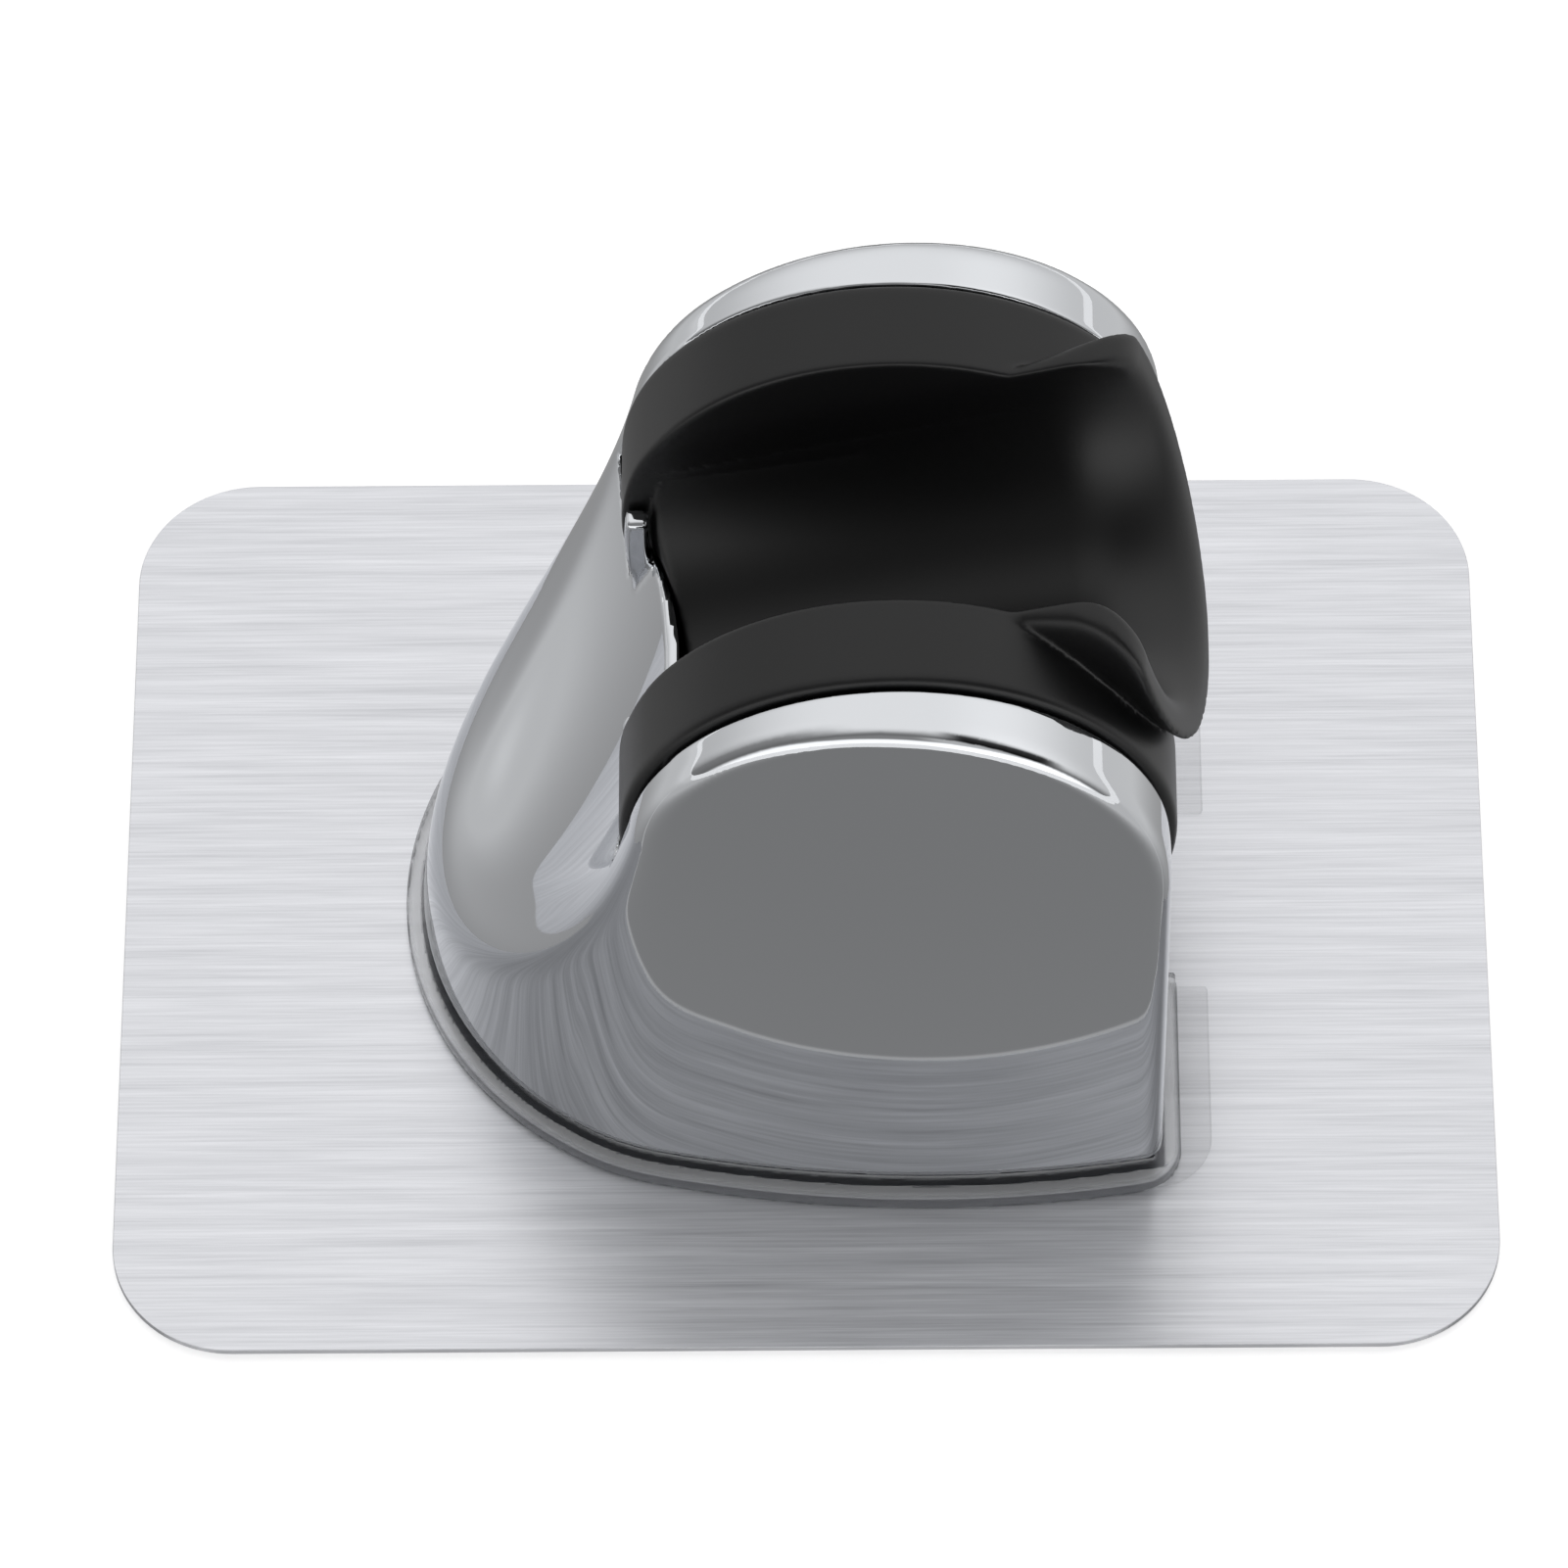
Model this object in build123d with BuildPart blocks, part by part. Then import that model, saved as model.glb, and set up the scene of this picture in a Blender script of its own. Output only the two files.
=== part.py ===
"""Hand shower holder: a chromed fork on a self-adhesive brushed sheet, with a tilting black cradle.

Frame: millimetres, origin at the centre of the adhesive back, +Z out of the wall,
+X up the wall towards the wide mouth of the cradle, +Y across the holder.
"""

import os
from math import cos, radians, sin, sqrt

from build123d import *

# Self-adhesive backing
sheet_length = 93.0
sheet_width = 70.0
sheet_corner = 8.2
sheet_thickness = 0.5
adhesive_thickness = 0.3
adhesive_inset = 0.5

# Clear base welded to the sheet
film_thickness = 0.25
film_reach = 0.6
film_shift = 2.8
rim_reach = 1.2
rim_height = 1.3
rim_edge_radius = 0.5
plinth_height = 2.0
plinth_inset = 0.5
post_radius = 2.5
post_height = 5.0
post_chamfer = 0.5

# Tilt axis of the cradle, along Y
axis_x = 6.3
axis_z = 33.4

# Chromed body: bullet-shaped in plan, with a sloping roof and two round cheeks
cheek_radius = 17.7
cheek_gap = 32.0
nose_x = -26.05
foot_half_width = 23.15
wall_lean = 2.3
wall_bow = 1.1
side_radius = 85.0
side_apex_x = 8.5
side_flattening = 0.95
nose_radius = 22.0
nose_lean = 0.1
nose_taper = 0.06
nose_turn = 75.0
nose_blend_radius = 12.0
hull_levels = 5
roof_top_angle = 10.0
roof_middle_x = -17.0
roof_middle_z = 20.2
roof_end_x = -25.9
roof_end_z = 8.0
wall_thickness = 2.6

# Hose groove in the roof and channel between the legs
groove_radius = 40.0
groove_end_x = -22.5
groove_end_z = 11.85
groove_middle_x = -15.4
groove_middle_z = 19.9
groove_top_x = -8.4
groove_top_z = 32.4
channel_width = 15.2
channel_end_x = 8.0
tongue_rise = 1.0

# Sockets for the posts of the clear base
leg_post_x = 14.0
leg_post_y = 15.0
nose_post_x = -16.5
boss_wall = 1.4

# Black cradle: a waisted spool with a tapered bore
flange_radius = 18.15
flange_edge_radius = 0.6
spool_length = 31.2
slot_width = 18.2
waist_radius = 14.3
waist_crown_radius = 21.0
trunnion_radius = 4.5
trunnion_length = 1.5
bore_angle = 16.5
bore_radius = 9.2
bore_taper = 0.3
bore_length = 35.2
flare_length = 7.2
mouth_x = 22.2
mouth_z = 48.5
mouth_drop = 3.2
mouth_radius = 11.2
mouth_outer_radius = 14.0
mouth_root_radius = 10.6
mouth_root_length = 9.7
lip_height = 3.9
lip_corner_radius = 4.0
bell_sections = 5
core_length = 17.0
core_width = 13.0
core_floor = 2.6

# Clearances
pocket_clearance = 0.3
trunnion_clearance = 0.06
trunnion_end_clearance = 0.2
post_clearance = 0.05
socket_end_clearance = 0.3

# Worked-out levels and places
adhesive_length = sheet_length - 2 * adhesive_inset
adhesive_width = sheet_width - 2 * adhesive_inset
deck_z = adhesive_thickness + sheet_thickness
foot_z = deck_z + plinth_height
top_z = axis_z + cheek_radius
tongue_z = axis_z + tongue_rise
level_step = (top_z - foot_z) / (hull_levels - 1)
body_end_x = axis_x + cheek_radius
roof_top_x = axis_x - cheek_radius * cos(radians(roof_top_angle))
roof_top_z = axis_z + cheek_radius * sin(radians(roof_top_angle))
spool_half = spool_length / 2
slot_half = slot_width / 2
channel_half = channel_width / 2
pocket_half = cheek_gap / 2
past_all = 2 * sheet_length
post_places = ((leg_post_x, leg_post_y), (leg_post_x, -leg_post_y), (nose_post_x, 0.0))
tilt_axis = Axis((axis_x, 0, axis_z), (0, 1, 0))
tilt_plane = Plane(origin=(axis_x, 0, axis_z), x_dir=(1, 0, 0), z_dir=(0, 0, 1))
barrel_plane = Plane(origin=(axis_x, 0, axis_z), x_dir=(1, 0, 0), z_dir=(0, 1, 0))


def half_width(x, z):
    """Half the width of the body's outer wall, at a place along it and a height."""
    rise = (z - foot_z) / (top_z - foot_z)
    curve = (x - side_apex_x) ** 2 / (2 * side_radius)
    return foot_half_width - (wall_lean + wall_bow * rise) * rise - curve * (1 - side_flattening * rise)


def body_outline(level, inset=0.0):
    """Bullet-shaped plan of the body at one of its levels."""
    rise = level * level_step
    z = foot_z + rise
    nose = nose_x + nose_lean * rise + inset
    radius = nose_radius - nose_taper * rise - inset
    turn_x = nose + radius - radius * cos(radians(nose_turn))
    turn_half = radius * sin(radians(nose_turn))
    end = body_end_x - inset
    end_half = half_width(body_end_x, z) - inset
    middle = (turn_x + end) / 2
    middle_half = half_width(middle, z) - inset
    with BuildSketch(Plane.XY.offset(z)) as outline:
        with BuildLine():
            Line((end, -end_half), (end, end_half))
            ThreePointArc((end, end_half), (middle, middle_half), (turn_x, turn_half))
            ThreePointArc((turn_x, turn_half), (nose, 0), (turn_x, -turn_half))
            ThreePointArc((turn_x, -turn_half), (middle, -middle_half), (end, -end_half))
        make_face()
        fillet(outline.vertices().group_by(Axis.X)[0], radius=nose_blend_radius)
    return outline.sketch


def body_hull(inset=0.0):
    """The body's outer form: a wall lofted from the foot up, cut to the cheeks and the hollow roof."""
    with BuildPart() as hull:
        for level in range(hull_levels):
            add(body_outline(level, inset))
        loft()
        with BuildSketch(Plane.XZ):
            with BuildLine():
                Line((body_end_x, roof_end_z - past_all), (body_end_x, axis_z))
                ThreePointArc((body_end_x, axis_z), (axis_x, top_z), (roof_top_x, roof_top_z))
                ThreePointArc(
                    (roof_top_x, roof_top_z), (roof_middle_x, roof_middle_z), (roof_end_x, roof_end_z),
                )
                Polyline(
                    (roof_end_x, roof_end_z), (roof_end_x - past_all, roof_end_z - past_all),
                    (body_end_x, roof_end_z - past_all),
                )
            make_face()
            if inset:
                offset(amount=-inset)
        extrude(amount=past_all, both=True, mode=Mode.INTERSECT)
    return hull.part


def groove_cutter(growth=0.0):
    """Cutter of the hose groove: hollow both ways, fading out at the nose and kept off the cheeks."""
    bottom = Edge.make_three_point_arc(
        (groove_end_x, 0, groove_end_z),
        (groove_middle_x, 0, groove_middle_z),
        (groove_top_x, 0, groove_top_z),
    )
    centre = bottom.arc_center
    half = pocket_half + growth
    reach = bottom.radius + growth
    edge_reach = reach - groove_radius + sqrt(groove_radius**2 - half**2)
    with BuildPart() as cutter:
        with BuildSketch(Plane(origin=centre, x_dir=(1, 0, 0), z_dir=(0, 0, 1))):
            with BuildLine():
                Polyline((edge_reach, half), (0, half), (0, -half), (edge_reach, -half))
                ThreePointArc((edge_reach, -half), (reach, 0), (edge_reach, half))
            make_face()
        revolve(axis=Axis(centre, (0, 1, 0)))
    return cutter.part


def channel_outline(z, growth=0.0):
    """Plan of the channel between the legs, round at its inner end."""
    middle_x = channel_end_x + channel_half
    with BuildSketch(Plane.XY.offset(z)) as outline:
        with Locations((middle_x, 0)):
            Circle(channel_half + growth)
            Rectangle(past_all, 2 * (channel_half + growth), align=(Align.MIN, Align.CENTER))
    return outline.sketch


def foot_outline(z, reach):
    """Plan of the body's foot with its channel, grown by a reach."""
    with BuildSketch(Plane.XY.offset(z)) as outline:
        add(body_outline(0, -reach).moved(Location((0, 0, -foot_z))))
        add(channel_outline(0.0, -reach), mode=Mode.SUBTRACT)
        if reach > 0:
            fillet(outline.vertices().group_by(Axis.X)[-1], radius=reach)
    return outline.sketch


def spool_profile(growth, half_length, edge_radius=0.0):
    """Half section of the waisted spool about the tilt axis, its flange edges rounded."""
    flange = flange_radius + growth
    flank = slot_half - growth
    waist = waist_radius + growth
    waist_edge = waist + waist_crown_radius - sqrt(waist_crown_radius**2 - flank**2)
    with BuildSketch(tilt_plane) as profile:
        with BuildLine():
            Polyline((waist_edge, flank), (flange, flank), (flange, half_length), (0, half_length))
            Polyline((0, half_length), (0, -half_length))
            Polyline((0, -half_length), (flange, -half_length), (flange, -flank), (waist_edge, -flank))
            ThreePointArc((waist_edge, -flank), (waist, 0), (waist_edge, flank))
        make_face()
        if edge_radius:
            rims = profile.vertices().group_by(Axis.X)[-1].sort_by(Axis.Y)
            fillet([rims[0], rims[-1]], radius=edge_radius)
    return profile.sketch


# Adhesive pad
with BuildPart() as adhesive_pad:
    with BuildSketch():
        RectangleRounded(adhesive_length, adhesive_width, sheet_corner - adhesive_inset)
    extrude(amount=adhesive_thickness)

# Backing sheet
with BuildPart() as backing_sheet:
    with BuildSketch(Plane.XY.offset(adhesive_thickness)):
        RectangleRounded(sheet_length, sheet_width, sheet_corner)
    extrude(amount=sheet_thickness)

# Clear base: film edge, rim, plinth and posts
with BuildPart() as clear_base:
    add(foot_outline(deck_z, rim_reach))
    extrude(amount=rim_height)
    fillet(clear_base.faces().sort_by(Axis.Z)[-1].edges(), radius=rim_edge_radius)
    add(foot_outline(deck_z, film_reach).moved(Location((film_shift, 0, 0))))
    extrude(amount=film_thickness)
    add(foot_outline(deck_z, -plinth_inset))
    extrude(amount=plinth_height)
    with BuildSketch(Plane.XY.offset(foot_z)):
        with Locations(*post_places):
            Circle(post_radius)
    extrude(amount=post_height)
    chamfer(clear_base.faces().sort_by(Axis.Z)[-3:].edges(), length=post_chamfer)

# Hollow under the body, round the bosses that take the posts
with BuildPart() as hollow:
    add(body_hull(wall_thickness))
    with BuildSketch(barrel_plane):
        Circle(flange_radius + pocket_clearance + wall_thickness)
    extrude(amount=past_all, both=True, mode=Mode.SUBTRACT)
    add(groove_cutter(wall_thickness), mode=Mode.SUBTRACT)
    add(channel_outline(foot_z, wall_thickness))
    extrude(amount=top_z, mode=Mode.SUBTRACT)
    with BuildSketch(Plane.XY.offset(foot_z)):
        with Locations(*post_places):
            Circle(post_radius + post_clearance + boss_wall)
    extrude(amount=top_z, mode=Mode.SUBTRACT)

# Chromed body
with BuildPart() as holder_body:
    add(body_hull())
    add(groove_cutter(), mode=Mode.SUBTRACT)
    add(spool_profile(pocket_clearance, pocket_half))
    revolve(axis=tilt_axis, mode=Mode.SUBTRACT)
    with BuildSketch(Plane.XZ):
        with BuildLine():
            Polyline(
                (-past_all, tongue_z), (axis_x, tongue_z), (axis_x, axis_z - waist_radius),
                (past_all, axis_z - waist_radius), (past_all, past_all), (-past_all, past_all), close=True,
            )
        make_face()
    extrude(amount=slot_half, both=True, mode=Mode.SUBTRACT)
    add(channel_outline(foot_z))
    extrude(amount=axis_z - foot_z, mode=Mode.SUBTRACT)
    add(hollow.part, mode=Mode.SUBTRACT)
    with BuildSketch(Plane.XY.offset(foot_z)):
        with Locations(*post_places):
            Circle(post_radius + post_clearance)
    extrude(amount=post_height + socket_end_clearance, mode=Mode.SUBTRACT)
    with BuildSketch(barrel_plane):
        Circle(trunnion_radius + trunnion_clearance)
    extrude(amount=spool_half + trunnion_length + trunnion_end_clearance, both=True, mode=Mode.SUBTRACT)

# Flared mouth of the cradle: a bell about the bore, cut level at the lips
bore_direction = Vector(cos(radians(bore_angle)), 0, sin(radians(bore_angle)))
bore_start = Vector(mouth_x, 0, mouth_z) - bore_direction * bore_length
bore_axis = Axis(bore_start, bore_direction)
bore_side = Plane(origin=bore_start, x_dir=bore_direction, z_dir=(0, -1, 0))
flare_start = bore_length - flare_length
flare_radius = bore_radius + bore_taper
root_start = bore_length - mouth_root_length
axis_along = (Vector(axis_x, 0, axis_z) - bore_start).dot(bore_direction)


def bell(start, start_radius, end_radius):
    """Bell that leaves the bore along its axis and drops as it opens out to the mouth."""
    reach = bore_length - start
    growth = end_radius - start_radius
    curve_radius = (reach**2 + growth**2) / (2 * growth)
    with BuildPart() as form:
        for section in range(bell_sections):
            along = reach * section / (bell_sections - 1)
            rise = curve_radius - sqrt(curve_radius**2 - along**2)
            middle = bore_start + bore_direction * (start + along)
            with BuildSketch(Plane(origin=middle, x_dir=(0, 1, 0), z_dir=bore_direction)):
                with Locations((0, -mouth_drop * rise / growth)):
                    Circle(start_radius + rise)
        loft()
    return form.part


with BuildPart() as mouth:
    with BuildSketch(Plane(origin=bore_start, x_dir=(0, 1, 0), z_dir=bore_direction)):
        Circle(mouth_root_radius)
    extrude(amount=root_start)
    add(bell(root_start, mouth_root_radius, mouth_outer_radius))
    with BuildSketch(bore_side) as mouth_side:
        with BuildLine():
            Polyline(
                (axis_along, -past_all), (bore_length, -past_all), (bore_length, lip_height),
                (axis_along, lip_height), close=True,
            )
        make_face()
        fillet(mouth_side.vertices().group_by(Axis.Y)[-1].sort_by(Axis.X)[-1], radius=lip_corner_radius)
    extrude(amount=past_all, both=True, mode=Mode.INTERSECT)

# Black cradle
with BuildPart() as cradle:
    add(spool_profile(0.0, spool_half, flange_edge_radius))
    revolve(axis=tilt_axis)
    with BuildSketch(barrel_plane):
        Circle(trunnion_radius)
    extrude(amount=spool_half + trunnion_length, both=True)
    add(mouth.part)
    with BuildSketch(bore_side):
        with BuildLine():
            Polyline((-past_all, bore_radius), (0, bore_radius), (flare_start, flare_radius))
            Polyline((flare_start, flare_radius), (flare_start, 0), (-past_all, 0), (-past_all, bore_radius))
        make_face()
    revolve(axis=bore_axis, mode=Mode.SUBTRACT)
    add(bell(flare_start, flare_radius, mouth_radius), mode=Mode.SUBTRACT)
    with BuildSketch(bore_side):
        Rectangle(2 * past_all, past_all, align=(Align.CENTER, Align.MIN))
    extrude(amount=slot_half, both=True, mode=Mode.SUBTRACT)
    with BuildSketch(bore_side):
        with Locations((axis_along, -bore_radius - core_floor)):
            Rectangle(core_length, past_all, align=(Align.CENTER, Align.MAX))
    extrude(amount=core_width / 2, both=True, mode=Mode.SUBTRACT)

os.makedirs("parts", exist_ok=True)
for piece, name in (
    (adhesive_pad, "adhesive_pad"),
    (backing_sheet, "backing_sheet"),
    (clear_base, "clear_base"),
    (holder_body, "holder_body"),
    (cradle, "cradle"),
):
    piece.part.label = name
    export_step(piece.part, f"parts/{name}.step")
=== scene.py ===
# %% [markdown]
# A self-adhesive wall holder for a hand shower, dressed for a picture.
# The solids come packed from the CAD model and never move here. This script loads them as a fixed frame,
# makes a finer skin over each one, gives every skin its finish, and sets a small product studio round it.
# Lengths are written in millimetres, as a maker would say them, and turned to metres for Blender.

# %% Load the solids and note their box
import math

import bpy
import numpy as np
from mathutils import Matrix, Vector


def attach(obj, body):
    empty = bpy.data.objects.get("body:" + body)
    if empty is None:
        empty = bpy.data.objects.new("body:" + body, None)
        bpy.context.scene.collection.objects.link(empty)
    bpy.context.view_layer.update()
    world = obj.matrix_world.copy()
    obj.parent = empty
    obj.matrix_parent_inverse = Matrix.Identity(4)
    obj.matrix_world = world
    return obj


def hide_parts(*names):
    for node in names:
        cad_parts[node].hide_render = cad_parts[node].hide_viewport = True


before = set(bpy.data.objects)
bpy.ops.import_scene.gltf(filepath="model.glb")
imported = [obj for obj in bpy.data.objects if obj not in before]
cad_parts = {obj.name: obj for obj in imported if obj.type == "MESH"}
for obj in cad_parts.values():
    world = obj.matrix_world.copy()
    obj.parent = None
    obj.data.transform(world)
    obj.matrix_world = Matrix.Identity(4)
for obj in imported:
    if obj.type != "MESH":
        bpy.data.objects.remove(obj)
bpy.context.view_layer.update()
scene = bpy.context.scene
MM = 0.001
print("solids:", sorted(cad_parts))

# %% [markdown]
# The camera looks down on the holder as it lies on its back, a little over halfway between level and plumb.
# Its place was worked out from the edges of the sheet and the round cheeks in the photograph, so it is
# written as numbers: a height angle, a small turn, a small roll and a distance. It could be aimed by hand or
# with a Track To constraint. A matrix built from three axes sets it in one step, and keeps the small roll.

# %% Camera
elevation = math.radians(57.0)
yaw = 0.0148
roll = -0.0193
distance = 696.94
pixels_per_mm = 14.7743
photo_side = 1601.0
sensor = 36.0
aim = Vector((-1.4215, 10.2403, 0.0))

level_back = math.cos(elevation)
back = Vector((math.sin(yaw) * level_back, -math.cos(yaw) * level_back, math.sin(elevation)))
level_right = Vector((math.cos(yaw), math.sin(yaw), 0.0))
level_up = back.cross(level_right)
right = level_right * math.cos(roll) + level_up * math.sin(roll)
up = level_up * math.cos(roll) - level_right * math.sin(roll)
turned = Matrix((right, up, back)).transposed().to_4x4()

camera = bpy.data.objects.new("camera", bpy.data.cameras.new("camera"))
camera.data.sensor_width = sensor
camera.data.lens = sensor * pixels_per_mm * distance / photo_side
camera.data.clip_start = 0.05
camera.data.clip_end = 20.0
camera.matrix_world = Matrix.Translation((aim + back * distance) * MM) @ turned
scene.collection.objects.link(camera)
scene.camera = camera
scene.view_settings.view_transform = "Standard"
print("camera lens", round(camera.data.lens, 1), "mm, held", round(distance), "mm away")

# %% [markdown]
# Plated plastic is a mirror, and a mirror shows every facet of the mesh under it. Booleans leave long thin
# faces beside each cut, and their reflections break up. So the body, the cradle and the clear base are each
# written as a rule: a function that gives, for any point, about how far it lies outside the piece. Cutting
# is the larger of two distances and joining is the smaller. Where the two are nearly equal lies the corner,
# and a little is added there, which gives the moulded edge its radius.

# %% Soft corners between two distances
def edge(a, b, radius):
    """The larger of two distances, with the corner between them rounded to about a radius."""
    width = 6.0 * (1.0 - math.cos(math.pi / 4)) * radius
    share = np.maximum(width - np.abs(a - b), 0.0) / width
    return np.maximum(a, b) + share**3 * width / 6.0


def valley(a, b, radius):
    """The smaller of two distances, with the inside corner filled to about a radius."""
    return -edge(-a, -b, radius)


def round_corner(a, b, radius):
    """The larger of two distances at right angles, with a true circular corner."""
    reach = np.hypot(np.maximum(radius + a, 0.0), np.maximum(radius + b, 0.0))
    return np.minimum(-radius, np.maximum(a, b)) + reach


def step(low, high, value):
    """Smooth change from 0 to 1 between two values."""
    share = np.clip((value - low) / (high - low), 0.0, 1.0)
    return share * share * (3.0 - 2.0 * share)


print("a 1 mm radius adds", round(float(edge(0.0, 0.0, 1.0)), 2), "mm at the corner itself")

# %% [markdown]
# A rule becomes a mesh on a grid. The grid finds the cells that the surface passes through, each such cell
# gets one vertex, and the vertices are pulled onto the surface along the direction in which the rule grows
# fastest. A remesh modifier also makes an even grid, but it keeps the facets of what it is given. The grid's
# places needn't be evenly spaced: where gaps are narrow they lie closer together.

# %% Places of the grid, and the slope of a rule
def spaced(low, high, coarse, fine=0.0, bands=()):
    """Places from low to high, a coarse step apart, and a fine step apart in the bands."""
    places = [low]
    while places[-1] < high:
        close = any(a <= places[-1] <= b for a, b in bands)
        places.append(places[-1] + (fine if close else coarse))
    return np.array(places)


def gradient(rule, points, reach=0.01):
    """Direction in which a rule grows fastest, at each point."""
    slopes = []
    for axis in np.eye(3) * reach:
        ahead, behind = points + axis, points - axis
        slopes.append((rule(*ahead.T) - rule(*behind.T)) / (2.0 * reach))
    return np.stack(slopes, axis=1)


print("grid places, closer together in a band:", spaced(0.0, 2.0, 0.5, 0.25, ((0.5, 1.0),)))

# %% [markdown]
# A cell is crossed where some of its eight corners are inside the piece and some are outside. Its vertex
# starts at the middle of the points where the surface cuts the cell's edges. One vertex for each cell keeps
# the faces nearly square. The older way, with a table of cases for each cell, leaves thin slivers.

# %% One vertex in each crossed cell
CORNERS = [(i, j, k) for i in (0, 1) for j in (0, 1) for k in (0, 1)]


def crossed_cells(inside):
    """The cells that are partly inside, and a grid that holds the number of each."""
    nx, ny, nz = np.array(inside.shape) - 1
    filled = np.zeros((nx, ny, nz), dtype=np.int8)
    for i, j, k in CORNERS:
        filled += inside[i:i + nx, j:j + ny, k:k + nz]
    cells = np.argwhere((filled > 0) & (filled < len(CORNERS)))
    number = np.full(filled.shape, -1, dtype=np.int64)
    number[tuple(cells.T)] = np.arange(len(cells))
    return cells, number


def cell_points(values, lines, cells):
    """The middle of the points where the surface cuts each cell's edges."""
    at = {c: values[tuple((cells + c).T)] for c in CORNERS}
    total = np.zeros((len(cells), 3))
    crossings = np.zeros(len(cells))
    for axis in range(3):
        for start in (c for c in CORNERS if c[axis] == 0):
            end = tuple(1 if n == axis else v for n, v in enumerate(start))
            a, b = at[start], at[end]
            cut = (a < 0.0) != (b < 0.0)
            share = np.where(cut, a / np.where(cut, a - b, 1.0), 0.0)
            place = np.array(start, float)[None, :] + share[:, None] * np.eye(3)[axis]
            total += place * cut[:, None]
            crossings += cut
    spots = cells + total / crossings[:, None]
    return np.stack([np.interp(spots[:, n], np.arange(len(lines[n])), lines[n]) for n in range(3)], axis=1)


one_inside = np.pad(np.ones((1, 1, 1), dtype=bool), 1)
print("one inside point of a grid is touched by", len(crossed_cells(one_inside)[0]), "crossed cells")

# %% [markdown]
# Wherever a line of the grid goes from inside to outside, the four cells round it are joined by one face. Its
# corners run one way round or the other, so that every face looks outwards and nothing has to be recalculated.

# %% One face across each cut line of the grid
def cell_faces(inside, number):
    """Faces that each join four neighbouring cells, turned to look outwards."""
    limit = number.shape
    quads = []
    for axis in range(3):
        first = [slice(None)] * 3
        second = [slice(None)] * 3
        first[axis], second[axis] = slice(None, -1), slice(1, None)
        a, b = inside[tuple(first)], inside[tuple(second)]
        u, v = (axis + 1) % 3, (axis + 2) % 3
        for outward in (True, False):
            found = np.argwhere(a & ~b if outward else ~a & b)
            found = found[(found[:, u] > 0) & (found[:, v] > 0)]
            found = found[(found[:, u] < limit[u]) & (found[:, v] < limit[v])]
            ring = []
            for du, dv in ((-1, -1), (0, -1), (0, 0), (-1, 0)):
                around = found.copy()
                around[:, u] += du
                around[:, v] += dv
                ring.append(number[tuple(around.T)])
            quads.append(np.stack(ring if outward else ring[::-1], axis=1))
    return np.concatenate(quads)


print("and they make", len(cell_faces(one_inside, crossed_cells(one_inside)[1])), "faces round it, a cube")

# %% [markdown]
# The skin puts these steps together. A few pulls bring every vertex onto the surface, and each pull is kept
# shorter than half a cell, so that no vertex leaves its place. The rule's slope is also the true normal of the
# surface. It goes into the mesh as a custom normal, which makes reflections smoother than smooth shading can.

# %% Skin of a rule
PULLS = 6
LONGEST_PULL = 0.4
LEAST_SLOPE = 0.2


def skin(name, rule, xs, half_ys, zs):
    """Mesh of the surface where a rule is zero, mirrored about Y = 0, with the rule's own normals."""
    half = rule(xs[:, None, None], half_ys[None, :, None], zs[None, None, :])
    values = np.concatenate((half[:, ::-1], half), axis=1)
    lines = (xs, np.concatenate((-half_ys[::-1], half_ys)), zs)
    inside = values < 0.0
    cells, number = crossed_cells(inside)
    points = cell_points(values, lines, cells)
    limit = LONGEST_PULL * np.diff(xs).max()
    for _ in range(PULLS):
        slope = gradient(rule, points)
        move = rule(*points.T) / np.maximum((slope**2).sum(1), LEAST_SLOPE)
        points -= np.clip(move, -limit, limit)[:, None] * slope
    quads = cell_faces(inside, number)

    mesh = bpy.data.meshes.new(name)
    mesh.from_pydata((points * MM).tolist(), [], quads.tolist())
    mesh.polygons.foreach_set("use_smooth", np.ones(len(quads), dtype=bool))
    normals = gradient(rule, points)
    normals /= np.linalg.norm(normals, axis=1)[:, None]
    mesh.normals_split_custom_set_from_vertices(normals.tolist())
    mesh.update()
    piece = bpy.data.objects.new(name, mesh)
    scene.collection.objects.link(piece)
    print(name, len(points), "vertices", len(quads), "quads")
    return piece


print("each vertex is pulled", PULLS, "times, by", LONGEST_PULL, "of a cell at most")

# %% [markdown]
# The body is the chromed moulding: a round nose that runs into nearly flat sides, and two round cheeks that
# hold the cradle. Its walls lean in as they rise, so that it leaves its mould. A box with a subdivision
# surface could swell like that, but it wouldn't keep true circles. Here the outline at any height is made of
# two circles, one for the nose and one for the side, and where they meet one fades into the other, so that
# no seam shows in the mirror.

# %% Outline of the body
axis_x, axis_z = 6.3, 33.4
foot_z = 2.8
cheek_radius = 17.7
top_z = axis_z + cheek_radius
body_end_x = axis_x + cheek_radius
foot_half_width = 23.15
wall_lean, wall_bow = 2.3, 1.1
side_apex_x, side_radius, side_flattening = 8.5, 85.0, 0.95
nose_x, nose_radius = -26.05, 22.0
nose_lean, nose_taper = 0.1, 0.06
nose_turn, nose_fade = math.radians(72.0), 0.26


def circle_through(a, b, c):
    """Centre and radius of the circle through three points."""
    area = 2 * (a[0] * (b[1] - c[1]) + b[0] * (c[1] - a[1]) + c[0] * (a[1] - b[1]))
    s = [p[0]**2 + p[1]**2 for p in (a, b, c)]
    x = (s[0] * (b[1] - c[1]) + s[1] * (c[1] - a[1]) + s[2] * (a[1] - b[1])) / area
    y = (s[0] * (c[0] - b[0]) + s[1] * (a[0] - c[0]) + s[2] * (b[0] - a[0])) / area
    return x, y, np.hypot(a[0] - x, a[1] - y)


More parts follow.
